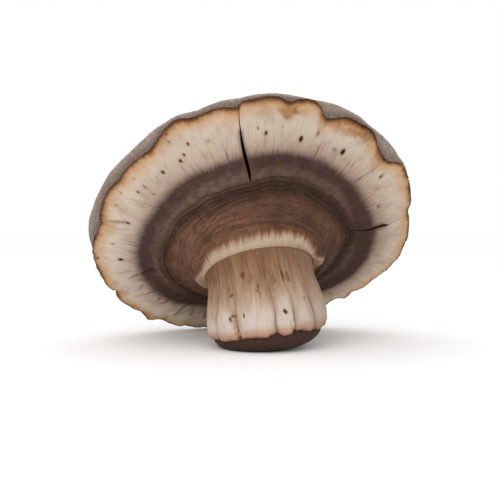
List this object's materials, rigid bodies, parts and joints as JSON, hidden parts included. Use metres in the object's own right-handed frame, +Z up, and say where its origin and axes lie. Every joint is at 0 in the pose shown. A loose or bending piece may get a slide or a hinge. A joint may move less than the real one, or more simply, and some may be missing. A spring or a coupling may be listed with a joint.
{
  "type": "portobello mushroom",
  "caption": "Picked portobello mushroom with a broad tilted cap, wavy curled rim and split underside, leaning on the foot of its thick lobed stem and on its back rim.",
  "frame": {"origin": "middle of the flat face under the stem's foot, on the surface that the mushroom rests on", "axes": "+Z up; +Y away from the side on which the underside of the cap shows; +X to the right of that side, along the cap's width"},
  "size_m": [0.12, 0.0891, 0.0864],
  "materials": {
    "cap": "matt, slightly fibrous skin and flesh",
    "stem": "matt, finely fibrous flesh over a dark foot"
  },
  "bodies": {
    "root": {"cap": "cap", "stem": "stem"}
  },
  "joints": []
}
